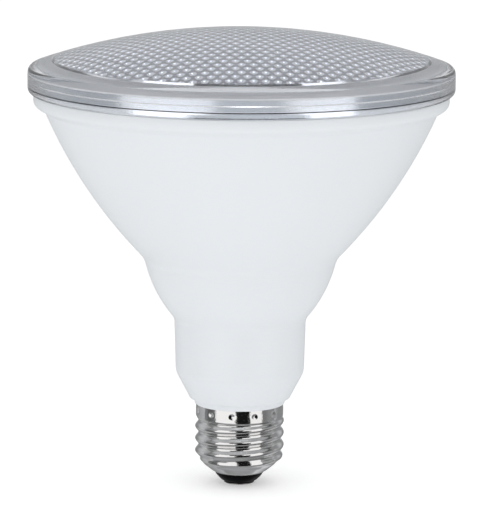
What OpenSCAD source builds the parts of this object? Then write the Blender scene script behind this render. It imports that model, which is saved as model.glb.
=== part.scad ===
// Reflector spotlight lamp: a beaded clear lens, a white housing and a metal screw base.
// Millimetres, +Z up along the lamp's axis, origin at the bottom of the centre contact.

/* [Base contact] */
// Diameter of the centre contact
contact_d = 8.8; // [7:0.2:9.2]
// Thickness of the contact's head
contact_h = 0.5; // [0.4:0.1:1]
// Diameter of the flat that meets the socket's tongue
contact_face_d = 6; // [4:0.5:6.5]
// Diameter of the contact's stem
contact_stem_d = 4.4; // [3:0.2:5]
// Length of the stem inside the insulator
contact_stem_h = 1.2; // [0.6:0.1:2]

/* [Base insulator] */
// Diameter of the flat under the insulator
insulator_face_d = 9.6; // [9.4:0.2:11]
// Diameter of the insulator at the shell's hem
insulator_neck_d = 14.6; // [13:0.2:16]
// Height of the black nose below the hem
insulator_nose_h = 3.1; // [2.6:0.1:3.6]
// Rounding of the insulator's lower edge
insulator_round = 1.4; // [0.6:0.1:2]

/* [Screw shell] */
// Diameter over the thread's crests
thread_d = 26; // [25.6:0.05:26.4]
// Depth of the rolled thread
thread_depth = 0.95; // [0.7:0.05:1.1]
// Rise of the thread in one turn
thread_pitch = 3.629; // [3.5:0.001:3.7]
// Height of the shell from its hem to its top edge
shell_h = 20.4; // [20:0.1:21.5]
// Diameter of the plain band above the thread
band_d = 25.3; // [25:0.1:25.5]
// Height of the plain band
band_h = 3.6; // [3.2:0.1:4]
// Thickness of the sheet metal
sheet = 0.35; // [0.25:0.05:0.4]
// Height of the curved part below the thread
hem_h = 5; // [4.4:0.1:5.4]
// Number of punch marks that hold the shell on
punch_count = 12; // [6:1:16]
// Depth of a punch mark
punch_depth = 0.45; // [0.2:0.05:0.5]
// Radius of the punch's round tip
punch_r = 1.1; // [0.8:0.1:1.4]

/* [Housing] */
// Thickness of the white moulding
housing_wall = 1.6; // [1.4:0.1:2]
// Diameter of the nose inside the shell
nose_d = 22.8; // [22:0.1:23]
// Height of the nose
nose_h = 14.5; // [10:0.5:15]
// Diameter of the skirt at the shell's top edge
skirt_d = 26.2; // [25.8:0.1:27]
// Height of the skirt
skirt_h = 1.7; // [1.2:0.1:2.2]
// Flare of the skirt's radius towards the cone
skirt_flare = 0.45; // [0.2:0.05:0.6]
// Diameter of the cone's lower edge
cone_foot_d = 29.2; // [28.4:0.2:31]
// Height of the cone below the neck
cone_h = 7.8; // [6:0.2:10]
// Diameter of the neck's lower end
neck_foot_d = 37.4; // [36:0.2:38]
// Diameter of the neck's upper end
neck_top_d = 38.3; // [37.4:0.1:39]
// Height of the neck
neck_h = 15.9; // [14:0.1:20]
// Height of the bowl
bowl_h = 17.8; // [15:0.1:20]
// Radius of the bowl's bulge
bowl_curve_r = 38; // [30:1:60]
// Diameter where the bowl meets the reflector wall
wall_foot_d = 56; // [55:0.2:58]
// Height of the reflector wall
wall_h = 43.2; // [40:0.1:47]
// Radius of the reflector wall's bulge
wall_curve_r = 140; // [120:1:220]
// Step of the radius from the reflector wall out to the shoulder
shoulder_step = 3.1; // [2.4:0.1:3.6]
// Height of the shoulder
shoulder_h = 5; // [4.6:0.1:6]
// Height of the shoulder's sloping underside
shoulder_slope_h = 1.6; // [1.2:0.1:2.2]
// Rounding of the shoulder's lower edge
shoulder_round = 1.5; // [0.8:0.1:2]
// Rounding of the other outside corners
corner_round = 1.2; // [0.6:0.1:1.6]

/* [Lens] */
// Outer diameter of the clear rim
rim_d = 123; // [121.5:0.1:125]
// Height of the rim's outer face
rim_h = 7.3; // [6.8:0.1:8.4]
// Thickness of the rim's wall
rim_wall = 3.3; // [2.8:0.1:3.4]
// Overhang of the rim's radius past the shoulder
rim_overhang = 1.6; // [0.8:0.1:1.7]
// Rounding of the rim's upper edge
rim_top_round = 2.8; // [1.6:0.1:3]
// Rounding of the rim's lower edge
rim_foot_round = 1.5; // [0.8:0.1:1.7]
// Radius of curvature of the dome
dome_curve_r = 184; // [160:1:230]
// Thickness of the dome
lens_wall = 2.4; // [2:0.1:2.8]
// Distance between two beads in a row
bead_pitch = 3.3; // [3.3:0.1:5]
// Height of a bead
bead_h = 0.6; // [0.3:0.05:0.8]
// Width of the plain margin from the beaded field to the rim's inside
field_margin = 3.2; // [2.6:0.1:6]

/* [Lens seal] */
// Width of the silicone ring
seal_w = 1; // [0.8:0.05:1.1]

/* [Heat sink] */
// Thickness of the pressed aluminium
sink_wall = 1.2; // [1:0.1:1.4]
// Thickness of the sink's floor
sink_floor = 2; // [1.5:0.1:2.5]
// Clearance round the light board in the foot of the sink
board_gap = 1.6; // [1:0.1:2.4]
// Clearance of the sink's rim inside the rim of the lens
sink_gap = 0.2; // [0.15:0.05:0.4]
// Height of the sink's rim inside the lens rim
sink_rim_h = 5.4; // [4.5:0.1:5.6]
// Diameter of the hole for the wires
wire_hole_d = 9; // [7:0.5:11]

/* [Reflector] */
// Thickness of the metallised cup
reflector_wall = 1.2; // [0.9:0.1:1.5]
// Clearance between the screws' heads and the cup's foot
screw_gap = 2.6; // [2.2:0.1:3.4]
// Width of the flange round the cup's mouth
reflector_flange = 2.6; // [2:0.1:3.6]
// Depth of the cup's mouth below the sink's rim
reflector_drop = 2.5; // [1.5:0.1:4]

/* [Light board] */
// Diameter of the light board
board_d = 64; // [62:0.5:66]
// Thickness of both circuit boards
board_t = 1.6; // [1:0.1:2]
// Thickness of the thermal pad
pad_t = 0.3; // [0.2:0.1:0.6]
// Number of light sources on the outer ring
outer_led_count = 8; // [4:1:8]
// Number of light sources on the inner ring
inner_led_count = 4; // [3:1:4]
// Side of a light source
led_w = 3.5; // [2.8:0.1:3.8]
// Height of a light source
led_h = 0.8; // [0.5:0.1:1.2]
// Diameter of the well that holds the phosphor
led_well_d = 2.6; // [2:0.1:2.7]
// Depth of that well
led_well_h = 0.25; // [0.1:0.05:0.35]
// Number of screws that hold the light board
screw_count = 3; // [2:1:4]
// Distance of a screw's axis from the board's edge
screw_edge = 3.4; // [3.2:0.1:4]
// Diameter of a screw's shank
screw_d = 2.9; // [2:0.1:3]
// Length of a screw's shank
screw_l = 5; // [4:0.5:8]
// Diameter of a screw's head
screw_head_d = 5.2; // [4.4:0.1:5.4]
// Height of a screw's head
screw_head_h = 1.8; // [1.2:0.1:2]
// Width of the cross in a screw's head
screw_slot_w = 0.9; // [0.6:0.1:1.2]

/* [Driver board] */
// Width of the driver board
driver_w = 30; // [28:0.5:31]
// Height of the driver board's wide part
driver_h = 37; // [35:0.5:40]
// Width of the tongue that reaches into the base
tongue_w = 15; // [12:0.5:16]
// Length of the tongue
tongue_h = 14; // [12:0.5:15]
// Height of the rails that hold the board
rail_h = 17; // [12:0.5:18]
// Thickness of a rail's cheek
rail_t = 1.4; // [1:0.1:2]
// Depth of a rail's slot
rail_slot = 1.3; // [1:0.1:1.6]

/* [Driver parts] */
// Width of the transformer's core
core_w = 16; // [15:0.5:17]
// Height of the transformer's core
core_h = 13; // [12:0.5:14]
// Depth of the transformer's core
core_depth = 12; // [11:0.2:12.4]
// Thickness of the core's legs
core_leg = 3.4; // [3:0.1:3.8]
// Clearance of the winding inside the core
winding_gap = 0.4; // [0.3:0.05:0.6]
// Diameter of the bulk capacitor
bulk_d = 10; // [8:0.5:10.5]
// Length of the bulk capacitor
bulk_l = 11; // [9:0.5:11.5]
// Diameter of the output capacitor
output_d = 8; // [6:0.5:9]
// Length of the output capacitor
output_l = 12; // [9:0.5:14]
// Width of the film capacitor
film_w = 6; // [4:0.5:7]
// Height of the film capacitor
film_h = 12; // [9:0.5:13]
// Depth of the film capacitor
film_depth = 10; // [8:0.5:11]
// Diameter of the choke
choke_d = 8; // [6:0.5:9]
// Height of the choke
choke_h = 9; // [7:0.5:10]
// Thickness of the choke's flanges
choke_flange = 1.2; // [0.8:0.1:1.6]
// Depth of the choke's winding space
choke_groove = 1; // [0.6:0.1:1.5]
// Width of the rectifier
rectifier_w = 6.5; // [4.5:0.1:7]
// Height of the rectifier
rectifier_h = 4.8; // [4:0.1:5.5]
// Depth of the rectifier
rectifier_depth = 2.6; // [2:0.1:3]
// Width of the control chip
chip_w = 5; // [4:0.1:6]
// Height of the control chip
chip_h = 4; // [3:0.1:5]
// Depth of the control chip
chip_depth = 1.6; // [1:0.1:2]
// Diameter of the fuse resistor
fuse_d = 3.2; // [2.5:0.1:4]
// Length of the fuse resistor
fuse_l = 8; // [6:0.5:9]
// Width of the output diode
diode_w = 2.7; // [2:0.1:3.5]
// Height of the output diode
diode_h = 5; // [4:0.1:6]
// Depth of the output diode
diode_depth = 2.2; // [1.5:0.1:2.6]

/* [Wires] */
// Diameter of a light board wire
led_wire_d = 1.4; // [1:0.1:1.8]
// Radius of the bend over the light board
led_wire_bend = 2; // [1.6:0.1:2.5]
// Distance of a light board wire from the axis
led_wire_x = 2.1; // [1.8:0.1:2.4]
// Height of the bend's start above the light board
led_wire_rise = 0.9; // [0.6:0.1:1.5]
// Diameter of a supply wire
supply_wire_d = 1; // [0.8:0.1:1.2]
// Radius of the neutral wire's bend
supply_wire_bend = 1.6; // [1.2:0.1:2]
// Length of a wire that lies on the driver board
wire_lap = 5; // [3:0.5:7]

/* [Hidden] */
// Clearance between pieces that are put together by hand
fit_gap = 0.3;
// Clearance between pieces that touch in use
snug_gap = 0.05;
// Overrun of every cut past the face that it leaves
overrun = 1;
// Segments of a rounded corner, of a bulging wall and of the reflector's curve
round_steps = 5;
wall_steps = 14;
curve_steps = 16;
// Facets of the screw shell from one punch mark to the next, rings in one turn of its thread,
// facets round the lens and rings of its dome
punch_sides = 3;
turn_rings = 5;
lens_sides = 60;
dome_steps = 6;
// Rings of light sources, as shares of the radius of the reflector's foot
led_ring_shares = [0.75, 0.4];
// Height in which the thread fades out, as a share of its pitch
fade_share = 0.35;
// Angle at which a crest meets the thread's top, and the angle of the first punch mark
crest_angle = 151;
punch_angle = -100;
// Shares of the hem's height and of its radius at which the hem's rings stand
hem_z_shares = [0, 0.28, 0.5, 0.74, 1];
hem_r_shares = [0, 0.345, 0.58, 0.77, 0.9];
// Level width of the sheet at those rings, as shares of its thickness
hem_wall_shares = [1.7, 1.6, 1.4, 1.15, 1];
// Ratio of the row distance to the bead pitch in a staggered field
// Places on the driver board, as shares of its half width and of its height
bulk_x_share = -0.43;
bulk_z_share = 0.24;
film_x_share = 0.33;
film_z_share = 0.26;
core_z_share = 0.7;
fuse_z_share = 0.1;
choke_x_share = -0.42;
choke_z_share = 0.33;
rectifier_x_share = 0.4;
rectifier_z_share = 0.14;
chip_x_share = 0.4;
chip_z_share = 0.36;
diode_x_share = -0.4;
diode_z_share = 0.68;
output_x_share = 0.5;
output_z_share = 0.68;
neutral_x_share = 0.7;
// Height of the contact's edge, share of the head's thickness at which its slope ends
contact_dome_share = 0.6;
// Turn of each ring of light sources, as a share of their spacing
led_turn_share = 0.5;
// Depth of the crimp round a capacitor's can, as a share of its diameter
can_groove_share = 0.05;
// Depth to which a soldered wire lies in its pad
solder = 0.2;

insulator_z = contact_h;
shell_z = insulator_z + insulator_nose_h;
band_top_z = shell_z + shell_h;
thread_top_z = band_top_z - band_h;
hem_top_z = shell_z + hem_h;
skirt_z = band_top_z;
cone_z = skirt_z + skirt_h;
neck_z = cone_z + cone_h;
bowl_z = neck_z + neck_h;
wall_z = bowl_z + bowl_h;
shoulder_z = wall_z + wall_h;
rim_z = shoulder_z + shoulder_h;
rim_top_z = rim_z + rim_h;
dome_centre_z = rim_top_z - sqrt(pow(dome_curve_r, 2) - pow(rim_d / 2, 2));
ledge_z = shoulder_z + shoulder_slope_h + fit_gap;
rim_inner_r = rim_d / 2 - rim_wall;
bead_field_d = 2 * (rim_inner_r - field_margin);
shoulder_d = rim_d - 2 * rim_overhang;
wall_top_d = shoulder_d - 2 * shoulder_step;
sink_r = rim_inner_r - sink_gap;
housing_top_r = sink_r + fit_gap;
sink_skin = housing_wall + snug_gap;
sink_top_z = wall_height(board_d / 2 + board_gap, sink_skin + sink_wall);
sink_z = sink_top_z - sink_floor;
sink_rim_z = rim_z + sink_rim_h;
pad_top_z = sink_top_z + pad_t;
board_top_z = pad_top_z + board_t;
screw_ring_d = board_d - 2 * screw_edge;
reflector_foot_d = screw_ring_d - screw_head_d - 2 * (screw_gap + reflector_wall);
reflector_mouth_d = 2 * (sink_r - sink_wall - snug_gap - reflector_flange);
reflector_top_z = sink_rim_z - reflector_drop;
nose_z = skirt_z - nose_h;
driver_z = neck_z;
tongue_z = driver_z - tongue_h;
driver_top_z = driver_z + driver_h;
supply_wire_y = board_t / 2 + supply_wire_d / 2 - solder;
thread_rings = round((thread_top_z - hem_top_z) / thread_pitch * turn_rings) - 1;

LED_NODES = [for (i = [1:outer_led_count + inner_led_count]) str("led_", i)];
$fn = 96;

function unit(v) = v / norm(v);

// Points of an arc that rounds the corner b between a and c
function corner_arc(a, b, c, r) =
    let (
        u = unit(a - b),
        v = unit(c - b),
        half = acos(u * v) / 2,
        centre = b + unit(u + v) * r / sin(half),
        start = b + u * r / tan(half) - centre,
        end = b + v * r / tan(half) - centre,
        from = atan2(start.y, start.x),
        turn = atan2(end.y, end.x) - from,
        sweep = turn > 180 ? turn - 360 : turn < -180 ? turn + 360 : turn
    )
    [for (i = [0:round_steps]) centre + r * [cos(from + sweep * i / round_steps),
                                             sin(from + sweep * i / round_steps)]];

// An outline from corners [radius, height, rounding], where a missing rounding is a sharp corner
function rounded(corners) =
    let (n = len(corners))
    [for (i = [0:n - 1])
        let (
            b = corners[i],
            a = corners[(i + n - 1) % n],
            c = corners[(i + 1) % n]
        )
        each (len(b) > 2 && b[2] > 0)
            ? corner_arc([a.x, a.y], [b.x, b.y], [c.x, c.y], b[2])
            : [[b.x, b.y]]];

// Radius at height z of an arc that bulges outwards from the point foot to the point top
function bulge_r(foot, top, curve_r, z) =
    let (
        chord = top - foot,
        back = sqrt(pow(curve_r, 2) - pow(norm(chord) / 2, 2)),
        centre = (foot + top) / 2 + unit([-chord.y, chord.x]) * back
    )
    centre.x + sqrt(pow(curve_r, 2) - pow(z - centre.y, 2));

// Centre of the arc of the reflector wall
function wall_centre() =
    let (
        foot = [wall_foot_d / 2, wall_z],
        top = [wall_top_d / 2, shoulder_z],
        chord = top - foot
    )
    (foot + top) / 2
    + unit([-chord.y, chord.x]) * sqrt(pow(wall_curve_r, 2) - pow(norm(chord) / 2, 2));

// Radius of the reflector wall at height z, moved in by inset at right angles to the wall
function wall_r(z, inset = 0) =
    wall_centre().x + sqrt(pow(wall_curve_r - inset, 2) - pow(z - wall_centre().y, 2));

// Height at which the wall, moved in by inset, has radius r
function wall_height(r, inset) =
    wall_centre().y - sqrt(pow(wall_curve_r - inset, 2) - pow(r - wall_centre().x, 2));

// Radius of the bowl at height z, moved in by inset
function bowl_r(z, inset = 0) =
    bulge_r([neck_top_d / 2, bowl_z], [wall_foot_d / 2, wall_z], bowl_curve_r, z) - inset;

function steps(from, to, n) = [for (i = [0:n]) from + (to - from) * i / n];

function dome_z_at(r, inset = 0) =
    dome_centre_z + sqrt(pow(dome_curve_r - inset, 2) - pow(r, 2));

// Parabola of the reflector through the middle of its foot and its mouth
function reflector_r(z) =
    let (
        foot = pow(reflector_foot_d / 2, 2),
        mouth = pow(reflector_mouth_d / 2, 2)
    )
    sqrt(foot + (mouth - foot) * (z - board_top_z) / (reflector_top_z - board_top_z));

module turned(outline) {
    rotate_extrude() polygon(outline);
}

module place_on_ring(count, ring_d, z, angle = 0) {
    for (i = [0:count - 1])
        rotate(angle + i * 360 / count) translate([ring_d / 2, 0, z]) children();
}

// Radius of the shell's outside at height z in the thread, and the share of the thread's depth there
thread_mean_r = (thread_d - thread_depth) / 2;
hem_top_r = hem_r(len(hem_r_shares) - 1);
fade_h = thread_pitch * fade_share;

function hem_r(i) = insulator_neck_d / 2 + (thread_d - insulator_neck_d) / 2 * hem_r_shares[i];
function fade(z) = max(0, min(1, (z - hem_top_z) / fade_h, (thread_top_z - z) / fade_h));
function thread_r(z, angle) =
    thread_mean_r + thread_depth / 2 * fade(z)
    * cos(360 * (z - thread_top_z) / thread_pitch - angle + crest_angle);

// Rings of the shell: [height, outer radius, level width of the sheet, kind], from the hem upwards
SHELL_RINGS = concat(
    [for (i = [0:len(hem_r_shares) - 1])
        [shell_z + hem_h * hem_z_shares[i], hem_r(i), sheet * hem_wall_shares[i], "hem"]],
    [for (i = [1:thread_rings]) [hem_top_z + (thread_top_z - hem_top_z) * i / (thread_rings + 1),
                                 0, sheet, "thread"]],
    [for (h_share = [0, 0.25, 0.5, 0.75, 1])
        [thread_top_z + band_h * h_share, band_d / 2, sheet, h_share == 0.5 ? "punched" : "band"]]
);

module screw_shell() {
    sides = punch_count * punch_sides;
    count = len(SHELL_RINGS);
    skins = [for (inner = [0, 1], ring = SHELL_RINGS, k = [0:sides - 1])
        let (
            angle = punch_angle + 360 * k / sides,
            punched = ring[3] == "punched" && k % punch_sides == 0,
            r = ring[3] == "thread" ? thread_r(ring[0], angle) : ring[1]
        )
        concat(
            (r - inner * ring[2] - (punched ? punch_depth : 0)) * [cos(angle), sin(angle)],
            ring[0]
        )];
    function at(inner, i, k) = (inner * count + i) * sides + k % sides;
    walls = [for (i = [0:count - 2], k = [0:sides - 1]) each [
        [at(0, i, k), at(0, i + 1, k), at(0, i + 1, k + 1)],
        [at(0, i, k), at(0, i + 1, k + 1), at(0, i, k + 1)],
        [at(1, i, k), at(1, i + 1, k + 1), at(1, i + 1, k)],
        [at(1, i, k), at(1, i, k + 1), at(1, i + 1, k + 1)]
    ]];
    top = count - 1;
    edges = [for (k = [0:sides - 1]) each [
        [at(0, top, k + 1), at(0, top, k), at(1, top, k), at(1, top, k + 1)],
        [at(0, 0, k), at(0, 0, k + 1), at(1, 0, k + 1), at(1, 0, k)]
    ]];
    color("silver") polyhedron(skins, concat(walls, edges), convexity = 10);
}

module base_insulator() {
    hem_in = [for (i = [0, 1]) hem_r(i) - sheet * hem_wall_shares[i] - snug_gap];
    top_z = shell_z + hem_h * hem_z_shares[1];
    color("black") difference() {
        turned(rounded([
            [0, insulator_z],
            [insulator_face_d / 2, insulator_z, insulator_round],
            [insulator_neck_d / 2, shell_z],
            [hem_in[0], shell_z],
            [hem_in[1], top_z],
            [0, top_z]
        ]));
        translate([0, 0, insulator_z - overrun])
            cylinder(d = contact_stem_d, h = contact_stem_h + overrun);
        translate([0, supply_wire_y, insulator_z])
            cylinder(d = supply_wire_d, h = top_z - insulator_z + overrun);
    }
}

module centre_contact() {
    color("goldenrod") turned([
        [0, 0],
        [contact_face_d / 2, 0],
        [contact_d / 2, contact_h * contact_dome_share],
        [contact_d / 2, contact_h],
        [contact_stem_d / 2, contact_h],
        [contact_stem_d / 2, contact_h + contact_stem_h],
        [0, contact_h + contact_stem_h]
    ]);
}

module housing() {
    nose_r = nose_d / 2;
    collar_r = band_d / 2 - sheet - fit_gap;
    skirt_r = skirt_d / 2;
    outside = concat(
        [
            [nose_r - housing_wall, nose_z],
            [nose_r, nose_z],
            [nose_r, thread_top_z],
            [collar_r, thread_top_z],
            [collar_r, skirt_z],
            [skirt_r, skirt_z],
            [skirt_r + skirt_flare, cone_z],
            [cone_foot_d / 2, cone_z],
            [neck_foot_d / 2, neck_z, corner_round]
        ],
        [for (z = steps(bowl_z, wall_z, wall_steps)) [bowl_r(z), z]],
        [for (z = steps(wall_z, shoulder_z, wall_steps)) if (z > wall_z) [wall_r(z), z]],
        [
            [shoulder_d / 2, shoulder_z + shoulder_slope_h, shoulder_round],
            [shoulder_d / 2, rim_z],
            [housing_top_r, rim_z],
            [housing_top_r, ledge_z]
        ]
    );
    inside = concat(
        [for (z = steps(ledge_z, wall_z, wall_steps)) [wall_r(z, housing_wall), z]],
        [for (z = steps(wall_z, bowl_z, wall_steps)) if (z < wall_z) [bowl_r(z, housing_wall), z]],
        [
            [neck_foot_d / 2 - housing_wall, neck_z],
            [nose_r - housing_wall, cone_z]
        ]
    );
    color("whitesmoke") difference() {
        union() {
            turned(rounded(concat(outside, inside)));
            board_rails();
        }
        for (i = [0:punch_count - 1])
            rotate(punch_angle + i * 360 / punch_count)
                translate([collar_r - punch_depth - fit_gap, 0, thread_top_z + band_h / 2])
                    rotate([0, 90, 0]) cylinder(r = punch_r + fit_gap, h = band_h);
        translate([nose_r - housing_wall - overrun, supply_wire_y - supply_wire_d / 2 - fit_gap,
                   nose_z - overrun])
            cube([housing_wall + 2 * overrun, supply_wire_d + 2 * fit_gap,
                  wire_lap + supply_wire_bend + overrun]);
    }
}

// Two slotted rails inside the neck, which carry the driver board by its edges
module board_rails() {
    reach = neck_foot_d / 2 - housing_wall + rail_t / 2;
    rail_w = board_t + 2 * fit_gap + 2 * rail_t;
    slot_w = board_t + 2 * snug_gap;
    intersection() {
        difference() {
            for (side = [0, 180])
                rotate(side) translate([driver_w / 2 - rail_slot, -rail_w / 2, neck_z - rail_t])
                    cube([reach, rail_w, rail_h]);
            translate([-driver_w / 2 - fit_gap, -slot_w / 2, neck_z])
                cube([driver_w + 2 * fit_gap, slot_w, rail_h]);
        }
        translate([0, 0, neck_z - rail_t]) cylinder(r = reach, h = rail_h);
    }
}

module screw_holes(z, h) {
    place_on_ring(screw_count, screw_ring_d, z - overrun) cylinder(d = screw_d, h = h + 2 * overrun);
}

module heat_sink() {
    top_z = sink_rim_z;
    outside = [for (z = steps(sink_z, ledge_z, wall_steps)) [wall_r(z, sink_skin), z]];
    inside = [for (z = steps(ledge_z + sink_wall, sink_top_z, wall_steps))
        [wall_r(z, sink_skin + sink_wall), z]];
    color("silver") difference() {
        turned(concat(
            [[wire_hole_d / 2, sink_z]],
            outside,
            [[sink_r, ledge_z], [sink_r, top_z], [sink_r - sink_wall, top_z]],
            [[sink_r - sink_wall, ledge_z + sink_wall]],
            inside,
            [[wire_hole_d / 2, sink_top_z]]
        ));
        screw_holes(sink_z, sink_floor);
    }
}

module lens_seal() {
    inner_r = sink_r - sink_wall;
    outer_r = inner_r + seal_w;
    color("dimgray") turned([
        [inner_r, sink_rim_z],
        [outer_r, sink_rim_z],
        [outer_r, dome_z_at(outer_r, lens_wall) - snug_gap],
        [inner_r, dome_z_at(inner_r, lens_wall) - snug_gap]
    ]);
}

module thermal_pad() {
    color("lightblue") difference() {
        turned([
            [wire_hole_d / 2, sink_top_z],
            [board_d / 2, sink_top_z],
            [board_d / 2, pad_top_z],
            [wire_hole_d / 2, pad_top_z]
        ]);
        screw_holes(sink_top_z, pad_t);
    }
}

module light_board() {
    color("white") difference() {
        turned([
            [wire_hole_d / 2, pad_top_z],
            [board_d / 2, pad_top_z],
            [board_d / 2, board_top_z],
            [wire_hole_d / 2, board_top_z]
        ]);
        screw_holes(pad_top_z, board_t);
    }
}

module board_screws() {
    color("silver") place_on_ring(screw_count, screw_ring_d, board_top_z) difference() {
        union() {
            translate([0, 0, -screw_l]) cylinder(d = screw_d, h = screw_l);
            cylinder(d = screw_head_d, h = screw_head_h);
        }
        for (angle = [0, 90])
            rotate(angle) translate([-screw_d / 2, -screw_slot_w / 2, screw_head_h / 2])
                cube([screw_d, screw_slot_w, screw_head_h]);
    }
}

module reflector() {
    top_z = reflector_top_z;
    flange_z = top_z - reflector_wall;
    flange_r = sink_r - sink_wall - snug_gap;
    heights = steps(board_top_z, top_z, curve_steps);
    color("gainsboro") turned(concat(
        [for (z = heights) if (z < flange_z) [reflector_r(z) + reflector_wall, z]],
        [
            [reflector_r(flange_z) + reflector_wall, flange_z],
            [flange_r, flange_z],
            [flange_r, top_z]
        ],
        [for (i = [0:curve_steps]) let (z = heights[curve_steps - i]) [reflector_r(z), z]]
    ));
}

// A light source on its ring: a square package with a round well for the phosphor
module led(ring, angle) {
    ring_r = reflector_foot_d / 2 * led_ring_shares[ring];
    color("lemonchiffon") rotate(angle) translate([ring_r, 0, board_top_z]) difference() {
        translate([-led_w / 2, -led_w / 2, 0]) cube([led_w, led_w, led_h]);
        translate([0, 0, led_h - led_well_h]) cylinder(d = led_well_d, h = led_well_h + overrun);
    }
}

module numbered_led(i) {
    if (i < outer_led_count)
        led(0, (i + led_turn_share) * 360 / outer_led_count);
    else
        led(1, (i - outer_led_count + led_turn_share) * 360 / inner_led_count);
}

// A wire from the driver board through the sink's hole, bent over to its pad on the light board
module led_wire(side) {
    start_z = driver_top_z - wire_lap;
    bend_z = board_top_z + led_wire_rise;
    translate([side * led_wire_x, board_t / 2 + led_wire_d / 2 - solder, 0]) {
        translate([0, 0, start_z]) cylinder(d = led_wire_d, h = bend_z - start_z);
        translate([side * led_wire_bend, 0, bend_z]) rotate([90, 0, 0])
            rotate_extrude(angle = 180) translate([led_wire_bend, 0]) circle(d = led_wire_d);
        translate([2 * side * led_wire_bend, 0, board_top_z])
            cylinder(d = led_wire_d, h = bend_z - board_top_z);
    }
}

module led_wire_positive() {
    color("red") led_wire(1);
}

module led_wire_negative() {
    color("black") led_wire(-1);
}

module driver_board() {
    color("darkgreen") {
        translate([-driver_w / 2, -board_t / 2, driver_z]) cube([driver_w, board_t, driver_h]);
        translate([-tongue_w / 2, -board_t / 2, tongue_z]) cube([tongue_w, board_t, tongue_h]);
    }
}

// Moves a part to its place on the board's back or front, with +Z away from the board
module on_back(x_share, z_share) {
    translate([x_share * driver_w / 2, board_t / 2, driver_z + z_share * driver_h])
        rotate([-90, 0, 0]) children();
}

module on_front(x_share, z_share) {
    translate([x_share * driver_w / 2, -board_t / 2, driver_z + z_share * driver_h])
        rotate([90, 0, 0]) children();
}

module block(w, h, depth) {
    translate([-w / 2, -h / 2, 0]) cube([w, h, depth]);
}

module can(d, l) {
    groove = d * can_groove_share;
    difference() {
        cylinder(d = d, h = l);
        translate([0, 0, 2 * groove]) rotate_extrude() translate([d / 2, 0]) circle(r = groove);
    }
}

module transformer_core() {
    window_h = core_h - 2 * core_leg;
    color("dimgray") on_front(0, core_z_share) {
        difference() {
            block(core_w, core_h, core_depth);
            translate([0, -window_h / 2, core_depth / 2]) rotate([-90, 0, 0])
                cylinder(d = core_w - core_leg, h = window_h);
        }
        translate([0, -window_h / 2 - snug_gap, core_depth / 2]) rotate([-90, 0, 0])
            cylinder(d = core_leg, h = window_h + 2 * snug_gap);
    }
}

module transformer_winding() {
    winding_h = core_h - 2 * core_leg - winding_gap;
    low = (core_h - 2 * core_leg) / 2;
    color("chocolate") on_front(0, core_z_share)
        translate([0, -low, core_depth / 2]) rotate([-90, 0, 0]) difference() {
            cylinder(d = core_w - core_leg - 2 * winding_gap, h = winding_h);
            translate([0, 0, -overrun])
                cylinder(d = core_leg + 2 * snug_gap, h = winding_h + 2 * overrun);
        }
}

module bulk_capacitor() {
    color("darkslateblue") on_front(bulk_x_share, bulk_z_share) can(bulk_d, bulk_l);
}

module output_capacitor() {
    color("darkslateblue") on_back(output_x_share, output_z_share) can(output_d, output_l);
}

module film_capacitor() {
    color("gold") on_front(film_x_share, film_z_share) block(film_w, film_h, film_depth);
}

module input_choke() {
    color("dimgray") on_back(choke_x_share, choke_z_share) turned([
        [0, 0],
        [choke_d / 2, 0],
        [choke_d / 2, choke_flange],
        [choke_d / 2 - choke_groove, choke_flange],
        [choke_d / 2 - choke_groove, choke_h - choke_flange],
        [choke_d / 2, choke_h - choke_flange],
        [choke_d / 2, choke_h],
        [0, choke_h]
    ]);
}

module bridge_rectifier() {
    color("black") on_back(rectifier_x_share, rectifier_z_share)
        block(rectifier_w, rectifier_h, rectifier_depth);
}

module control_chip() {
    color("black") on_back(chip_x_share, chip_z_share) block(chip_w, chip_h, chip_depth);
}

module fuse_resistor() {
    color("tan") on_back(0, fuse_z_share) cylinder(d = fuse_d, h = fuse_l);
}

module output_diode() {
    color("black") on_back(diode_x_share, diode_z_share) block(diode_w, diode_h, diode_depth);
}

// The supply wire from the contact's stem straight up to the driver board's tongue
module line_wire() {
    start_z = contact_h + contact_stem_h;
    color("black") translate([0, supply_wire_y, start_z])
        cylinder(d = supply_wire_d, h = tongue_z + wire_lap - start_z);
}

// The supply wire from the tongue round the nose's lower edge to the inside of the screw shell
module neutral_wire() {
    low_z = nose_z - fit_gap - supply_wire_d / 2;
    bend_z = low_z + supply_wire_bend;
    inner_x = neutral_x_share * tongue_w / 2;
    reach = thread_d / 2 - thread_depth - sheet - snug_gap - supply_wire_d / 2;
    outer_x = sqrt(pow(reach, 2) - pow(supply_wire_y, 2));
    color("white") translate([0, supply_wire_y, 0]) {
        translate([inner_x, 0, bend_z])
            cylinder(d = supply_wire_d, h = tongue_z + wire_lap - bend_z);
        translate([inner_x + supply_wire_bend, 0, bend_z]) rotate([90, 0, 0]) rotate(180)
            rotate_extrude(angle = 90) translate([supply_wire_bend, 0]) circle(d = supply_wire_d);
        translate([inner_x + supply_wire_bend, 0, low_z]) rotate([0, 90, 0])
            cylinder(d = supply_wire_d, h = outer_x - inner_x - 2 * supply_wire_bend);
        translate([outer_x - supply_wire_bend, 0, bend_z]) rotate([90, 0, 0]) rotate(270)
            rotate_extrude(angle = 90) translate([supply_wire_bend, 0]) circle(d = supply_wire_d);
        translate([outer_x, 0, bend_z]) cylinder(d = supply_wire_d, h = wire_lap);
    }
}

// The lens's beads stand in a staggered field, whose cells are hexagons. A place in it is [m, n]:
// m counts half pitches along X and n counts thirds of a row along Y, so all cells share corners.
cell_r = bead_pitch / sqrt(3);
field_m = ceil(bead_field_d / bead_pitch) + 1;
field_n = ceil(bead_field_d / cell_r) + 1;
CELL_CORNERS = [[1, 1], [0, 2], [-1, 1], [-1, -1], [0, -2], [1, -1]];

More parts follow.
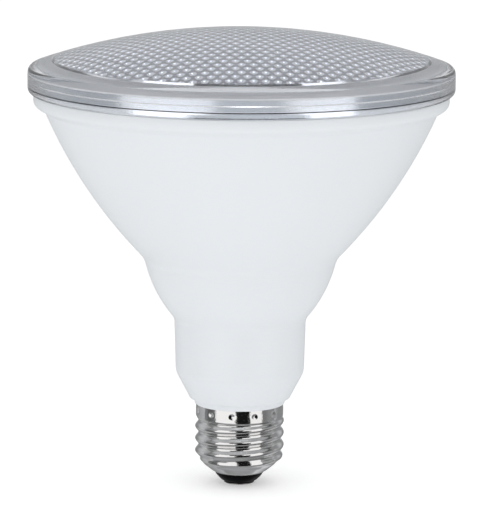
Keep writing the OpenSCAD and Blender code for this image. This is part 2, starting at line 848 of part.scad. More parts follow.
function field_xy(m, n) = [m * bead_pitch / 2, n * cell_r / 2];
function field_index(m, n) = (n + field_n) * (2 * field_m + 1) + m + field_m;
function has_bead(m, n) =
    n % 3 == 0 && (m + n / 3) % 2 == 0 && norm(field_xy(m, n)) + cell_r < bead_field_d / 2;
function beads_round(m, n) = len([for (c = CELL_CORNERS) if (has_bead(m + c.x, n + c.y)) 1]);
function by_angle(v) =
    len(v) < 2 ? v : let (middle = v[floor(len(v) / 2)][0]) concat(
        by_angle([for (e = v) if (e[0] < middle) e]),
        [for (e = v) if (e[0] == middle) e],
        by_angle([for (e = v) if (e[0] > middle) e])
    );

// Triangles between an inner loop a and an outer loop b, both lists of [angle, index]
function stitch(a, b, i = 0, j = 0, done = []) =
    i == len(a) && j == len(b) ? done :
    let (
        next_a = i < len(a) ? a[(i + 1) % len(a)][0] + (i + 1 < len(a) ? 0 : 360) : 1000,
        next_b = j < len(b) ? b[(j + 1) % len(b)][0] + (j + 1 < len(b) ? 0 : 360) : 1000,
        from_a = a[i % len(a)][1],
        from_b = b[j % len(b)][1]
    )
    next_a <= next_b
        ? stitch(a, b, i + 1, j, concat(done, [[from_a, from_b, a[(i + 1) % len(a)][1]]]))
        : stitch(a, b, i, j + 1, concat(done, [[from_a, from_b, b[(j + 1) % len(b)][1]]]));

module lens() {
    edge_r = bead_field_d / 2 + fit_gap;
    dome_r = rim_d / 2 - 2 * rim_top_round;
    field = [for (n = [-field_n:field_n], m = [-field_m:field_m])
        let (
            place = field_xy(m, n),
            r = min(norm(place), rim_d / 2)
        )
        concat(place, dome_z_at(r, lens_wall) - (has_bead(m, n) ? bead_h : 0))];
    border = by_angle([for (n = [-field_n + 2:field_n - 2], m = [-field_m + 1:field_m - 1])
        let (beads = beads_round(m, n))
        if (beads > 0 && beads < 3 && !has_bead(m, n))
            [atan2(field_xy(m, n).y, field_xy(m, n).x), field_index(m, n)]]);
    outline = concat(
        [
            [edge_r, dome_z_at(edge_r, lens_wall)],
            [rim_inner_r, dome_z_at(rim_inner_r, lens_wall)],
            [rim_inner_r, rim_z]
        ],
        corner_arc([rim_inner_r, rim_z], [rim_d / 2, rim_z], [rim_d / 2, rim_top_z], rim_foot_round),
        corner_arc([rim_d / 2, rim_z], [rim_d / 2, rim_top_z], [dome_r, dome_z_at(dome_r)],
                   rim_top_round),
        [for (i = [0:dome_steps - 1]) let (r = dome_r * (1 - i / dome_steps)) [r, dome_z_at(r)]]
    );
    first = len(field);
    apex = first + len(outline) * lens_sides;
    last = len(outline) - 1;
    function at(i, k) = first + i * lens_sides + k % lens_sides;
    rings = [for (p = outline, k = [0:lens_sides - 1])
        let (angle = 360 * k / lens_sides - 180)
        [p.x * cos(angle), p.x * sin(angle), p.y]];
    beads = [for (n = [-field_n:field_n], m = [-field_m:field_m]) if (has_bead(m, n))
        for (k = [0:5]) let (a = CELL_CORNERS[k], b = CELL_CORNERS[(k + 1) % 6])
            [field_index(m, n), field_index(m + a.x, n + a.y), field_index(m + b.x, n + b.y)]];
    seam = stitch(border, [for (k = [0:lens_sides - 1]) [360 * k / lens_sides - 180, at(0, k)]]);
    skin = [for (i = [0:last - 1], k = [0:lens_sides - 1])
        [at(i, k), at(i + 1, k), at(i + 1, k + 1), at(i, k + 1)]];
    cap = [for (k = [0:lens_sides - 1]) [at(last, k), apex, at(last, k + 1)]];
    color("gainsboro", 0.5)
        polyhedron(concat(field, rings, [[0, 0, dome_z_at(0)]]), concat(beads, seam, skin, cap),
                   convexity = 10);
}

lens();
lens_seal();
housing();
heat_sink();
reflector();
thermal_pad();
light_board();
board_screws();
led_wire_positive();
led_wire_negative();
driver_board();
transformer_core();
transformer_winding();
bulk_capacitor();
output_capacitor();
film_capacitor();
input_choke();
bridge_rectifier();
control_chip();
fuse_resistor();
output_diode();
line_wire();
neutral_wire();
screw_shell();
base_insulator();
centre_contact();
for (i = [0:outer_led_count + inner_led_count - 1])
    numbered_led(i);
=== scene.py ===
import math

import bmesh
import bpy
from mathutils import Matrix, Vector


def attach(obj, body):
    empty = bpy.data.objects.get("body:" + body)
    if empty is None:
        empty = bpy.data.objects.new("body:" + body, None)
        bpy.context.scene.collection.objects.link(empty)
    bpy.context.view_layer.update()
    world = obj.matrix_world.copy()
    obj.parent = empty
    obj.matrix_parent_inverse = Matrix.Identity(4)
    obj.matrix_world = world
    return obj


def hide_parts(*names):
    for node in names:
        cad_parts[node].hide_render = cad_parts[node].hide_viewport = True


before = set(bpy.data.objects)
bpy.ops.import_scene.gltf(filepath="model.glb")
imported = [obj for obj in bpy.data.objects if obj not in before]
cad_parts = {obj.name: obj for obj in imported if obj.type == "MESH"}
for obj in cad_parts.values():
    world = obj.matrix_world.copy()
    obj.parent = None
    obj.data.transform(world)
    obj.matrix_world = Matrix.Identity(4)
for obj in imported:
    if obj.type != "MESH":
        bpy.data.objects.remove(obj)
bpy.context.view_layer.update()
scene = bpy.context.scene

# Centre contact and black insulator. The contact is a plated button riveted through a nose of
# black glass, which the shell's hem grips. The glass is smooth with faint flow marks.


def turned(outline, segments=128, closed=True):
    """A piece turned round Z from an outline of (radius, height) in millimetres."""
    bm = bmesh.new()
    points = [bm.verts.new((r / 1000, 0, z / 1000)) for r, z in outline]
    for a, b in zip(points, points[1:]):
        bm.edges.new((a, b))
    if closed:
        bm.edges.new((points[-1], points[0]))
    bmesh.ops.spin(
        bm, geom=bm.verts[:] + bm.edges[:], cent=(0, 0, 0), axis=(0, 0, 1),
        angle=math.tau, steps=segments, use_merge=True,
    )
    bmesh.ops.remove_doubles(bm, verts=bm.verts[:], dist=1e-6)
    bmesh.ops.dissolve_degenerate(bm, edges=bm.edges[:], dist=1e-7)
    bmesh.ops.recalc_face_normals(bm, faces=bm.faces[:])
    return bm


def round_ring(bm, radius, height, width, segments=4):
    """Rounds the circular edge at that radius and height, in millimetres."""
    ring = [
        e for e in bm.edges
        if all(abs(v.co.xy.length * 1000 - radius) < 0.01
               and abs(v.co.z * 1000 - height) < 0.01 for v in e.verts)
    ]
    bmesh.ops.bevel(
        bm, geom=ring, offset=width / 1000, segments=segments, profile=0.5,
        affect="EDGES", material=-1,
    )


def finished(bm, name, material, sharp=35):
    """Links the mesh as an object, smooth but for edges over that many degrees."""
    for face in bm.faces:
        face.smooth = True
    for edge in bm.edges:
        if len(edge.link_faces) == 2 and edge.calc_face_angle() > math.radians(sharp):
            edge.smooth = False
    mesh = bpy.data.meshes.new(name)
    bm.to_mesh(mesh)
    bm.free()
    obj = bpy.data.objects.new(name, mesh)
    scene.collection.objects.link(obj)
    obj.data.materials.append(material)
    return obj


def surface(name, color, roughness, grain=0.0, grain_scale=400, tone=0.04, tone_scale=25,
            **sockets):
    """A material whose colour and roughness vary a little and whose surface has a fine grain."""
    material = bpy.data.materials.new(name)
    material.use_nodes = True
    tree = material.node_tree
    shader = tree.nodes["Principled BSDF"]
    place = tree.nodes.new("ShaderNodeTexCoord")
    tones = tree.nodes.new("ShaderNodeTexNoise")
    tones.inputs["Scale"].default_value = tone_scale
    tones.inputs["Detail"].default_value = 4
    tree.links.new(place.outputs["Object"], tones.inputs["Vector"])
    tint = tree.nodes.new("ShaderNodeMix")
    tint.data_type = "RGBA"
    tint.inputs["A"].default_value = [c * (1 - tone) for c in color] + [1]
    tint.inputs["B"].default_value = [min(1, c * (1 + tone)) for c in color] + [1]
    tree.links.new(tones.outputs["Fac"], tint.inputs["Factor"])
    tree.links.new(tint.outputs["Result"], shader.inputs["Base Color"])
    wear = tree.nodes.new("ShaderNodeMapRange")
    wear.inputs["To Min"].default_value = roughness * 0.85
    wear.inputs["To Max"].default_value = roughness * 1.15
    tree.links.new(tones.outputs["Fac"], wear.inputs["Value"])
    tree.links.new(wear.outputs["Result"], shader.inputs["Roughness"])
    if grain:
        fine = tree.nodes.new("ShaderNodeTexNoise")
        fine.inputs["Scale"].default_value = grain_scale
        fine.inputs["Detail"].default_value = 3
        tree.links.new(place.outputs["Object"], fine.inputs["Vector"])
        bump = tree.nodes.new("ShaderNodeBump")
        bump.inputs["Strength"].default_value = grain
        bump.inputs["Distance"].default_value = 0.0001
        tree.links.new(fine.outputs["Fac"], bump.inputs["Height"])
        tree.links.new(bump.outputs["Normal"], shader.inputs["Normal"])
    for socket, value in sockets.items():
        shader.inputs[socket.replace("_", " ")].default_value = value
    return material


def dress(finishes):
    """Gives solids from the frame their finishes, from materials by node name."""
    for node, material in finishes.items():
        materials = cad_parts[node].data.materials
        materials.clear()
        materials.append(material)


nose_foot, nose_top = 0.5, 4.95
flat_radius, lip_radius, under_lip_radius, nose_radius = 3.6, 7.3, 7.0, 8.6
lip_height, under_lip_height = 3.75, 4.0
flank = [(4.5, 0.72), (5.3, 1.2), (6.0, 1.85), (6.6, 2.55), (7.05, 3.2)]
black_glass = surface("black_glass", (0.003, 0.003, 0.0035), 0.3, grain=0.15, grain_scale=900,
                      Specular_IOR_Level=0.04)
nose = turned([(0, nose_foot), (flat_radius, nose_foot)] + flank + [
    (lip_radius, lip_height), (under_lip_radius, under_lip_height), (nose_radius, nose_top),
    (0, nose_top),
])
nose = finished(nose, "insulator_nose", black_glass)
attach(nose, "root")
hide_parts("base_insulator")

# The contact's plating is given a dark grey, painted shade, so that it shows dark under the nose.
contact_plate = surface("contact_plate", (0.34, 0.33, 0.31), 0.35, grain=0.3,
                        grain_scale=1500, Metallic=1.0)
dress({"centre_contact": contact_plate})

# Screw shell. Thin brass sheet, drawn to a cup, rolled to the medium thread, nickel plated
# bright, and staked to the housing's collar by a ring of punch marks under its top edge.

shell_low, hem_top, shell_high, sheet = 3.6, 9.6, 24.0, 0.33
core_radius, band_radius = 12.53, 12.78
hem = [(shell_low, 7.3), (4.2, 8.3), (5.0, 9.3), (6.0, 10.52), (7.2, 11.55), (8.0, 12.1),
       (8.6, 12.43), (hem_top, core_radius)]
thread_pitch, thread_swing, crest_turn = 3.629, 0.475, math.radians(151)
thread_low, thread_high, run_out, run_out_start = 7.2, 20.4, 1.3, 0.6
punch_height, punch_circle, punch_radius, punch_depth = 22.2, 12.8, 1.05, 0.36
punch_angles = [math.radians(-100 + 30 * i) for i in range(12)]
level_count = 136


def shell_radius(z):
    """Radius of the shell without its thread, in millimetres."""
    if z >= thread_high:
        return band_radius
    if z >= hem_top:
        return core_radius
    for (z0, r0), (z1, r1) in zip(hem, hem[1:]):
        if z <= z1:
            return r0 + (r1 - r0) * (z - z0) / (z1 - z0)


levels = [shell_low + (shell_high - shell_low) * i / level_count for i in range(level_count + 1)]
shell = turned([(shell_radius(z), z) for z in levels], segments=216, closed=False)
for vert in shell.verts:
    x, y, z = vert.co * 1000
    angle = math.atan2(y, x)
    fade = min(1, (z - thread_low + run_out_start) / run_out, (thread_high - z) / run_out)
    fade = max(0, fade)
    fade = fade * fade * (3 - 2 * fade)
    wave = math.cos(math.tau * (z - thread_high) / thread_pitch - angle + crest_turn)
    radius = shell_radius(z) + thread_swing * fade * wave
    for punch in punch_angles:
        across = (angle - punch + math.pi) % math.tau - math.pi
        reach = math.hypot(across * punch_circle, z - punch_height)
        if reach < punch_radius:
            dent = 0.5 + 0.5 * math.cos(math.pi * reach / punch_radius)
            radius -= punch_depth * dent ** 0.8
    vert.co.xy = Vector((math.cos(angle), math.sin(angle))) * radius / 1000
bmesh.ops.recalc_face_normals(shell, faces=shell.faces[:])
if sum((f.normal.xy.dot(f.calc_center_median().xy) for f in shell.faces)) < 0:
    bmesh.ops.reverse_faces(shell, faces=shell.faces[:])
bmesh.ops.solidify(shell, geom=shell.faces[:], thickness=sheet / 1000)
bright_nickel = surface("bright_nickel", (0.86, 0.85, 0.845), 0.11, grain=0.3,
                        grain_scale=900, tone=0.07, tone_scale=220, Metallic=1.0)
shell = finished(shell, "threaded_shell", bright_nickel, sharp=50)
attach(shell, "root")
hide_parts("screw_shell")

# Housing. One injection moulding in white flame-retardant plastic, from the skirt over the
# shell to the shoulder under the lens, with a fine satin texture from the mould.


def arc(foot, top, radius, count):
    """Points of an arc that bulges outwards from foot to top, (radius, height) in millimetres."""
    foot, top = Vector(foot), Vector(top)
    chord = top - foot
    back = math.sqrt(radius ** 2 - (chord.length / 2) ** 2)
    centre = (foot + top) / 2 + Vector((-chord.y, chord.x)).normalized() * back
    heights = [foot.y + chord.y * i / count for i in range(count + 1)]
    return [(centre.x + math.sqrt(radius ** 2 - (z - centre.y) ** 2), z) for z in heights]


# Corners on the way up the outside, (radius, height) in millimetres, with their roundings.
skirt_foot, skirt_top = (13.1, 24.0), (13.55, 25.7)
cone_foot, neck_foot = (14.6, 25.7), (18.7, 33.5)
neck_top, bowl_top, wall_top = (19.15, 49.4), (28.0, 67.2), (56.8, 110.4)
shoulder_foot, shoulder_top = (59.9, 112.0), (59.9, 115.4)
roundings = {
    skirt_foot: 0.25, skirt_top: 0.2, cone_foot: 0.35, neck_foot: 1.1, neck_top: 1.2,
    bowl_top: 1.6, wall_top: 0.5, shoulder_foot: 1.2, shoulder_top: 0.3,
}
bowl_curve, reflector_curve, wall = 38, 140, 1.9
collar_bore, collar_radius, band_collar_radius, neck_bore = 9.8, 11.4, 12.0, 17.1
collar_foot, collar_step, seat_radius, seat_height, mouth_radius = 9.5, 20.5, 58.3, 112.3, 55.8
outside = (
    [(band_collar_radius, collar_step), (band_collar_radius, skirt_foot[1])]
    + [skirt_foot, skirt_top, cone_foot, neck_foot]
    + arc(neck_top, bowl_top, bowl_curve, 22) + arc(bowl_top, wall_top, reflector_curve, 40)[1:]
    + [shoulder_foot, shoulder_top, (seat_radius, shoulder_top[1]), (seat_radius, seat_height),
       (mouth_radius, seat_height)]
)
inside = [(r - wall, z) for r, z in reversed(
    arc(neck_top, bowl_top, bowl_curve, 10) + arc(bowl_top, wall_top, reflector_curve, 16)[1:]
)] + [
    (neck_bore, neck_foot[1]), (collar_bore, cone_foot[1]), (collar_bore, collar_foot),
    (collar_radius, collar_foot), (collar_radius, collar_step),
]
housing = turned(outside + inside, segments=192)
for corner, width in roundings.items():
    round_ring(housing, *corner, width)
white_plastic = surface("white_plastic", (0.755, 0.785, 0.812), 0.42, grain=0.10,
                        grain_scale=1800, tone=0.008, tone_scale=18)
housing = finished(housing, "white_housing", white_plastic, sharp=40)
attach(housing, "root")
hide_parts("housing")

# Heat sink, thermal pad and light board. The sink is pressed from aluminium sheet. The board
# is aluminium too, with a white mask, and three screws press it and the pad on the sink.

pressed_aluminium = surface("pressed_aluminium", (0.70, 0.73, 0.77), 0.14, grain=0.2,
                            grain_scale=500, Metallic=1.0)
pad_silicone = surface("pad_silicone", (0.28, 0.42, 0.55), 0.7, grain=0.2)
white_mask = surface("white_mask", (0.80, 0.80, 0.78), 0.45, grain=0.1)
zinc_plate = surface("zinc_plate", (0.55, 0.56, 0.58), 0.3, grain=0.3, Metallic=1.0)
phosphor = surface("phosphor", (0.80, 0.70, 0.38), 0.5, grain=0.2)
dress({
    "heat_sink": pressed_aluminium, "thermal_pad": pad_silicone, "light_board": white_mask,
    "board_screws": zinc_plate,
})
dress({f"led_{i}": phosphor for i in range(1, 13)})

# Driver. A green laminate board that stands in the neck on two rails and carries the parts
# that make the supply fit for the light sources, with its wires to the base and the board.

laminate = surface("laminate", (0.02, 0.14, 0.05), 0.35, grain=0.15)
ferrite = surface("ferrite", (0.03, 0.03, 0.032), 0.6, grain=0.5)
taped_winding = surface("taped_winding", (0.60, 0.42, 0.05), 0.3, grain=0.3)
capacitor_sleeve = surface("capacitor_sleeve", (0.02, 0.03, 0.10), 0.3)
film_case = surface("film_case", (0.45, 0.12, 0.03), 0.3)
black_epoxy = surface("black_epoxy", (0.015, 0.015, 0.015), 0.5, grain=0.3)
fuse_coat = surface("fuse_coat", (0.18, 0.30, 0.20), 0.4)
red_sleeve = surface("red_sleeve", (0.45, 0.02, 0.02), 0.35)
black_sleeve = surface("black_sleeve", (0.015, 0.015, 0.015), 0.35)
white_sleeve = surface("white_sleeve", (0.75, 0.75, 0.72), 0.35)
dress({
    "driver_board": laminate, "transformer_core": ferrite, "transformer_winding": taped_winding,
    "bulk_capacitor": capacitor_sleeve, "output_capacitor": capacitor_sleeve,
    "film_capacitor": film_case, "input_choke": ferrite, "bridge_rectifier": black_epoxy,
    "control_chip": black_epoxy, "fuse_resistor": fuse_coat, "output_diode": black_epoxy,
    "led_wire_positive": red_sleeve, "led_wire_negative": black_sleeve,
    "line_wire": black_sleeve, "neutral_wire": white_sleeve,
})

# Reflector and lens seal. The reflector is a moulded cup with a vacuum-metallised inside.
# The seal is a ring of pale silicone between the sink's rim and the lens.

metallised = surface("metallised", (0.72, 0.73, 0.76), 0.16, grain=0.1, Metallic=1.0)
silicone = surface("silicone", (0.68, 0.69, 0.71), 0.5, grain=0.2)
dress({"reflector": metallised, "lens_seal": silicone})

# Lens. One clear moulding: a smooth shallow dome outside, a staggered field of round beads inside,
# and a deep rounded rim that is welded to the housing's shoulder. The clear beads and the step
# round their field are given partly silver faces, a painted reflection that gives each bead its
# glint.

dome_radius, dome_centre = 184.0, -50.72
dome_rings = (58, 54, 50, 45, 40, 35, 30, 25, 20, 15, 10, 5, 0)
lens_wall, margin_wall = 2.4, 3.05
step_foot, step_top = 53.1, 53.8
bore_radius, groove_radius, rim_radius, top_radius = 58.2, 58.6, 61.5, 61.45
groove_foot, groove_top, groove_slope = 117.1, 119.2, 0.3
rim_foot, rim_top, foot_rounding, top_rounding = 115.4, 122.7, 1.5, 1.2
parting_radius, parting_height, parting_slope = 61.41, 121.25, 0.15
bead_pitch, bead_curve, field_radius = 3.3, 2.6, 53.0
bead_rows, bead_columns = 21, 19
row_pitch = bead_pitch * math.sin(math.radians(60))
cell_radius = bead_pitch / math.sqrt(3)


def dome_height(radius, inset=0.0):
    """Height of the dome's outside, or of the face that lies that far inside it."""
    return dome_centre + math.sqrt((dome_radius - inset) ** 2 - radius ** 2)


step = [
    (step_foot, dome_height(step_foot, lens_wall)), (step_top, dome_height(step_top, margin_wall)),
]
bore = [
    (bore_radius, dome_height(bore_radius, margin_wall)), (bore_radius, groove_top),
    (groove_radius, groove_top - groove_slope), (groove_radius, groove_foot + groove_slope),
    (bore_radius, groove_foot), (bore_radius, rim_foot),
]
rim = [
    (rim_radius, rim_foot), (rim_radius, parting_height - parting_slope),
    (parting_radius, parting_height), (top_radius, parting_height + parting_slope),
    (top_radius, rim_top),
]
dome = [(r, dome_height(r)) for r in dome_rings]
lens = turned(step + bore + rim + dome, segments=240, closed=False)
round_ring(lens, rim_radius, rim_foot, foot_rounding, 5)
round_ring(lens, top_radius, rim_top, top_rounding, 6)

# The bead field starts as one six-sided cell, copied over the field and divided finely.
beads = bmesh.new()
bmesh.ops.create_circle(beads, cap_ends=True, cap_tris=True, segments=6,
                        radius=cell_radius / 1000)
first = beads.verts[:] + beads.edges[:] + beads.faces[:]
for row in range(-bead_rows, bead_rows + 1):
    for column in range(-bead_columns, bead_columns + 1):
        x = (column + (row % 2) / 2) * bead_pitch
        y = row * row_pitch
        if (row or column) and math.hypot(x, y) - cell_radius < field_radius:
            copy = bmesh.ops.duplicate(beads, geom=first)["geom"]
            verts = [g for g in copy if isinstance(g, bmesh.types.BMVert)]
            bmesh.ops.translate(beads, verts=verts, vec=(x / 1000, y / 1000, 0))
bmesh.ops.remove_doubles(beads, verts=beads.verts[:], dist=1e-5)
bmesh.ops.subdivide_edges(beads, edges=beads.edges[:], cuts=3, use_grid_fill=True)
outer = [f for f in beads.faces if f.calc_center_median().length * 1000 > field_radius - 0.1]
bmesh.ops.delete(beads, geom=outer, context="FACES")
for vert in beads.verts:
    if vert.is_boundary:
        vert.co *= field_radius / 1000 / vert.co.length
# Each point drops by the height of the round bead whose centre is the nearest.
for vert in beads.verts:
    x, y = vert.co.x * 1000, vert.co.y * 1000
    row = round(y / row_pitch)
    reach = min(
        math.hypot(x - (round(x / bead_pitch - (r % 2) / 2) + (r % 2) / 2) * bead_pitch,
                   y - r * row_pitch)
        for r in (row - 1, row, row + 1)
    )
    crown = math.sqrt(bead_curve ** 2 - reach ** 2) - math.sqrt(bead_curve ** 2 - cell_radius ** 2)
    vert.co.z = (dome_height(math.hypot(x, y), lens_wall) - crown) / 1000
clear_slot, bead_slot, haze_slot, ribbed_slot, step_slot = range(5)
for face in beads.faces:
    face.material_index = bead_slot
bead_mesh = bpy.data.meshes.new("beads")
beads.to_mesh(bead_mesh)
beads.free()
lens.from_mesh(bead_mesh)
bpy.data.meshes.remove(bead_mesh)
# Triangles close the gap between the field's border and the foot of the step.
open_edges = [e for e in lens.edges if e.is_boundary]
bmesh.ops.triangle_fill(lens, use_beauty=True, edges=open_edges, normal=(0, 0, 1))
bmesh.ops.recalc_face_normals(lens, faces=lens.faces[:])
clear_plastic = surface("clear_plastic", (0.95, 0.955, 0.98), 0.08, tone=0.01,
                        Transmission_Weight=1.0, IOR=1.49)
moulded_haze = surface("moulded_haze", (0.92, 0.93, 0.97), 0.24, Transmission_Weight=1.0,
                       IOR=1.49)
ribbed_haze = surface("ribbed_haze", (0.86, 0.87, 0.91), 0.4, Transmission_Weight=0.6,
                      IOR=1.49)


def around(tree, turns, rise):
    """Coordinates that run round the axis and up it, so that a pattern follows the rim."""
    place = tree.nodes.new("ShaderNodeTexCoord")
    axes = tree.nodes.new("ShaderNodeSeparateXYZ")
    tree.links.new(place.outputs["Object"], axes.inputs[0])
    turn = tree.nodes.new("ShaderNodeMath")
    turn.operation = "ARCTAN2"
    tree.links.new(axes.outputs["Y"], turn.inputs[0])
    tree.links.new(axes.outputs["X"], turn.inputs[1])
    course = tree.nodes.new("ShaderNodeCombineXYZ")
    for source, factor, target in ((turn.outputs[0], turns, "X"), (axes.outputs["Z"], rise, "Y")):
        scaled = tree.nodes.new("ShaderNodeMath")
        scaled.operation = "MULTIPLY"
        scaled.inputs[1].default_value = factor
        tree.links.new(source, scaled.inputs[0])
        tree.links.new(scaled.outputs[0], course.inputs[target])
    return course.outputs[0]


tree = moulded_haze.node_tree
shader = tree.nodes["Principled BSDF"]
streaks = tree.nodes.new("ShaderNodeTexNoise")
streaks.inputs["Scale"].default_value = 1
streaks.inputs["Detail"].default_value = 1
tree.links.new(around(tree, 2.5, 700), streaks.inputs["Vector"])
for low, high, socket in (((0.91, 0.92, 0.95), (1, 1, 1), "Base Color"),
                          ((0.08,) * 3, (0.22,) * 3, "Roughness")):
    blend = tree.nodes.new("ShaderNodeMix")
    blend.data_type = "RGBA"
    blend.inputs["A"].default_value = (*low, 1)
    blend.inputs["B"].default_value = (*high, 1)
    tree.links.new(streaks.outputs["Fac"], blend.inputs["Factor"])
    tree.links.new(blend.outputs["Result"], shader.inputs[socket])

tree = ribbed_haze.node_tree
ribs = tree.nodes.new("ShaderNodeTexWave")
ribs.inputs["Scale"].default_value = 1
ribs.inputs["Distortion"].default_value = 2
tree.links.new(around(tree, 90, 0), ribs.inputs["Vector"])
rib_bump = tree.nodes.new("ShaderNodeBump")
rib_bump.inputs["Strength"].default_value = 0.25
rib_bump.inputs["Distance"].default_value = 0.0001
tree.links.new(ribs.outputs["Fac"], rib_bump.inputs["Height"])
tree.links.new(rib_bump.outputs["Normal"], tree.nodes["Principled BSDF"].inputs["Normal"])
# Painted reflection: the clear beads are given three quarters silver, so that each one shows a
# glint.
beads_painted_silver = surface("beads_painted_silver", (0.86, 0.875, 0.92), 0.19, tone=0.02, tone_scale=60,
                       Metallic=0.75, Transmission_Weight=1.0, IOR=1.49)
# Painted reflection: the clear step is given a smooth silver, so that it shows as a mirror.
step_painted_mirror = surface("step_painted_mirror", (0.86, 0.875, 0.92), 0.05, Metallic=0.75,
                        Transmission_Weight=1.0, IOR=1.49)
# Under the dome and outside the field lie the step, silvered as a painted mirror reflection, the
# ribbed margin and the hazy rim.
margin_foot, dome_skin = 121, 1.2
for face in lens.faces:
    middle = face.calc_center_median() * 1000
    under_dome = dome_height(middle.xy.length) - middle.z > dome_skin
    if face.material_index == clear_slot and under_dome and middle.xy.length > field_radius:
        if middle.xy.length < step_top - 0.05:
            face.material_index = step_slot
        else:
            face.material_index = ribbed_slot if middle.z > margin_foot else haze_slot
lens = finished(lens, "beaded_lens", clear_plastic, sharp=28)
for material in (beads_painted_silver, moulded_haze, ribbed_haze, step_painted_mirror):
    lens.data.materials.append(material)
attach(lens, "root")
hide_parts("lens")

# Studio. A wide pale floor under an even white surround, two large soft boxes in front and
# dark and grey cards all round, which show only in the bright metal and in the clear plastic.

floor = bpy.data.meshes.new("floor")
bm = bmesh.new()
bmesh.ops.create_grid(bm, x_segments=1, y_segments=1, size=6)
bm.to_mesh(floor)
bm.free()
floor = bpy.data.objects.new("floor", floor)
scene.collection.objects.link(floor)
# A faint glow keeps the floor white, and from below it is clear.
floor_paint = bpy.data.materials.new("floor_paint")
floor_paint.use_nodes = True
tree = floor_paint.node_tree
shader = tree.nodes["Principled BSDF"]
shader.inputs["Base Color"].default_value = (0.93, 0.93, 0.93, 1)
shader.inputs["Roughness"].default_value = 0.9
shader.inputs["Specular IOR Level"].default_value = 0.0
lift = tree.nodes.new("ShaderNodeEmission")
lift.inputs["Color"].default_value = (0.34, 0.34, 0.34, 1)
both = tree.nodes.new("ShaderNodeAddShader")
tree.links.new(shader.outputs[0], both.inputs[0])
tree.links.new(lift.outputs[0], both.inputs[1])
one_sided = tree.nodes.new("ShaderNodeMixShader")
tree.links.new(tree.nodes.new("ShaderNodeNewGeometry").outputs["Backfacing"], one_sided.inputs[0])
tree.links.new(both.outputs[0], one_sided.inputs[1])
tree.links.new(tree.nodes.new("ShaderNodeBsdfTransparent").outputs[0], one_sided.inputs[2])
tree.links.new(one_sided.outputs[0], tree.nodes["Material Output"].inputs["Surface"])
floor.data.materials.append(floor_paint)
floor.visible_glossy = False

world = bpy.data.worlds.new("surround")
scene.world = world
world.use_nodes = True
tree = world.node_tree
plain = tree.nodes["Background"]
plain.inputs["Color"].default_value = (1, 1, 1, 1)
plain.inputs["Strength"].default_value = 0.77
white = tree.nodes.new("ShaderNodeBackground")
white.inputs["Color"].default_value = (1, 1, 1, 1)
# The camera, the metal and the plastic see full white, and matt surfaces are lit a little less.
path = tree.nodes.new("ShaderNodeLightPath")
seen = path.outputs["Is Camera Ray"]
for ray in ("Is Glossy Ray", "Is Transmission Ray"):
    larger = tree.nodes.new("ShaderNodeMath")
    larger.operation = "MAXIMUM"
    tree.links.new(seen, larger.inputs[0])
    tree.links.new(path.outputs[ray], larger.inputs[1])
    seen = larger.outputs[0]
either = tree.nodes.new("ShaderNodeMixShader")
tree.links.new(seen, either.inputs["Fac"])
tree.links.new(plain.outputs[0], either.inputs[1])
tree.links.new(white.outputs[0], either.inputs[2])
tree.links.new(either.outputs[0], tree.nodes["World Output"].inputs["Surface"])


def soft_box(name, azimuth, height, distance, width, tall, watts):
    """A large area lamp that faces the bulb. Azimuth 0 is at the camera, positive to the right."""
    lamp = bpy.data.lights.new(name, "AREA")
    lamp.shape = "RECTANGLE"
    lamp.size, lamp.size_y = width, tall
    lamp.energy = watts
    obj = bpy.data.objects.new(name, lamp)
    scene.collection.objects.link(obj)
    turn = math.radians(azimuth)
    place = Vector((math.sin(turn) * distance, -math.cos(turn) * distance, height))
    target = Vector((0, 0, 0.08))
    obj.location = place
    obj.rotation_euler = (target - place).to_track_quat("-Z", "Y").to_euler()
    obj.visible_glossy = False


soft_box("box_left", -40, 0.35, 1.6, 1.2, 0.6, 2.6)
soft_box("box_right", 48, 0.35, 1.6, 0.9, 0.6, 1.8)


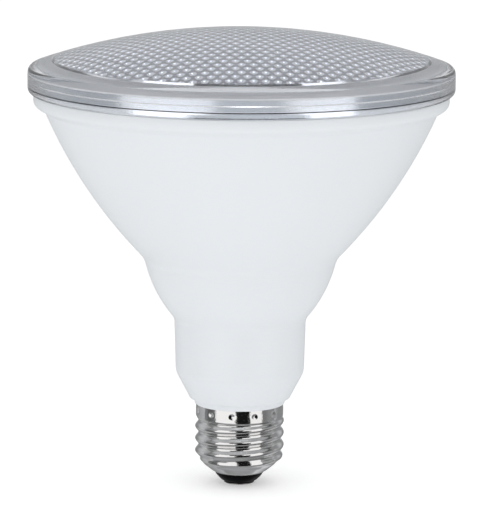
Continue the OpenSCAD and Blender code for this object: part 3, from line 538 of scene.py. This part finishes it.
def card(name, left, right, low, high, shade, metal=True, plastic=True, distance=1.6,
         uneven=0.1):
    """A curved card round the bulb between two azimuths and two elevations in degrees, which
    shows only in the bright metal, in the clear plastic, or in both."""
    steps, centre_height = 12, 0.1
    bm = bmesh.new()
    turn = math.radians(left - 90)
    edge = []
    for i in range(steps + 1):
        tilt = math.radians(low + (high - low) * i / steps)
        out = math.cos(tilt) * distance
        edge.append(bm.verts.new((math.cos(turn) * out, math.sin(turn) * out,
                                  centre_height + math.sin(tilt) * distance)))
    edge += [bm.edges.new(pair) for pair in zip(edge, edge[1:])]
    bmesh.ops.spin(bm, geom=edge, cent=(0, 0, 0), axis=(0, 0, 1),
                   angle=math.radians(right - left), steps=max(4, int((right - left) / 4)))
    bmesh.ops.remove_doubles(bm, verts=bm.verts[:], dist=1e-5)
    mesh = bpy.data.meshes.new(name)
    bm.to_mesh(mesh)
    bm.free()
    obj = bpy.data.objects.new(name, mesh)
    scene.collection.objects.link(obj)
    paint = bpy.data.materials.new(name)
    paint.use_nodes = True
    tree = paint.node_tree
    tree.nodes.remove(tree.nodes["Principled BSDF"])
    glow = tree.nodes.new("ShaderNodeEmission")
    glow.inputs["Color"].default_value = (0.96, 0.98, 1, 1)
    place = tree.nodes.new("ShaderNodeTexCoord")
    cloud = tree.nodes.new("ShaderNodeTexNoise")
    cloud.inputs["Scale"].default_value = 1.1
    cloud.inputs["Detail"].default_value = 0
    tree.links.new(place.outputs["Object"], cloud.inputs["Vector"])
    tone = tree.nodes.new("ShaderNodeMapRange")
    tone.inputs["From Min"].default_value, tone.inputs["From Max"].default_value = 0.3, 0.7
    tone.inputs["To Min"].default_value = shade * (1 - uneven)
    tone.inputs["To Max"].default_value = shade * (1 + uneven)
    tree.links.new(cloud.outputs["Fac"], tone.inputs["Value"])
    tree.links.new(tone.outputs["Result"], glow.inputs["Strength"])
    tree.links.new(glow.outputs[0], tree.nodes["Material Output"].inputs["Surface"])
    obj.data.materials.append(paint)
    obj.visible_camera = obj.visible_diffuse = obj.visible_shadow = False
    obj.visible_glossy, obj.visible_transmission = metal, plastic


card("dark_card", -10, 28, -55, 17, 0.01, plastic=False, distance=1.55)
card("dark_card_left", -30, 8, 17, 50, 0.06, plastic=False)
card("shade_left", -104, -66, -55, 40, 0.26, plastic=False, uneven=0.6)
card("shade_right", 62, 104, -55, 40, 0.22, plastic=False, uneven=0.6)
card("shade_behind", 104, 256, -55, 40, 0.46, plastic=False, uneven=0.4)
card("shade_above", -180, 180, 40, 90, 0.46, plastic=False, uneven=0.2)
card("light_above", 156, 204, 46, 56, 3.4, plastic=False, distance=1.5)
card("shade_below", -180, 180, -90, -32, 0.26, plastic=False, distance=1.7, uneven=0.4)
card("grey_front", -14, 23, -11, 5, 0.67, metal=False, distance=0.5)
card("grey_left", -150, -66, -11, 5, 0.58, metal=False, distance=0.5)
card("grey_right", 62, 150, -11, 5, 0.58, metal=False, distance=0.5)
card("grey_back", 150, 210, -11, 42, 0.82, metal=False)
card("grey_front_low", -29, 37, 4, 15, 0.88, metal=False)
card("dark_front", -29, 37, 15, 25, 0.06, metal=False)
card("grey_front_high", -29, 37, 25, 42, 0.68, metal=False)
card("grey_left_high", -150, -90, 28, 42, 0.55, metal=False)
card("grey_right_high", 90, 150, 28, 42, 0.55, metal=False)
card("grey_above", -180, 180, 42, 90, 0.72, metal=False, distance=1.65)
card("window_above", -14, 34, 48, 80, 3.0, metal=False, distance=1.55)

# Camera. A long lens, a metre in front of the bulb, looks down at it by about ten degrees.

camera_place, camera_tilt, camera_roll = (0.00043, -1.0, 0.2459), 10.12, 0.36
camera = bpy.data.cameras.new("camera")
camera.lens = 246.09
camera.sensor_width = 36
camera.clip_start = 0.01
camera = bpy.data.objects.new("camera", camera)
scene.collection.objects.link(camera)
tilt = Matrix.Rotation(math.radians(90 - camera_tilt), 4, "X")
roll = Matrix.Rotation(math.radians(camera_roll), 4, "Z")
camera.matrix_world = Matrix.Translation(camera_place) @ tilt @ roll
scene.camera = camera

scene.view_settings.view_transform = "Standard"
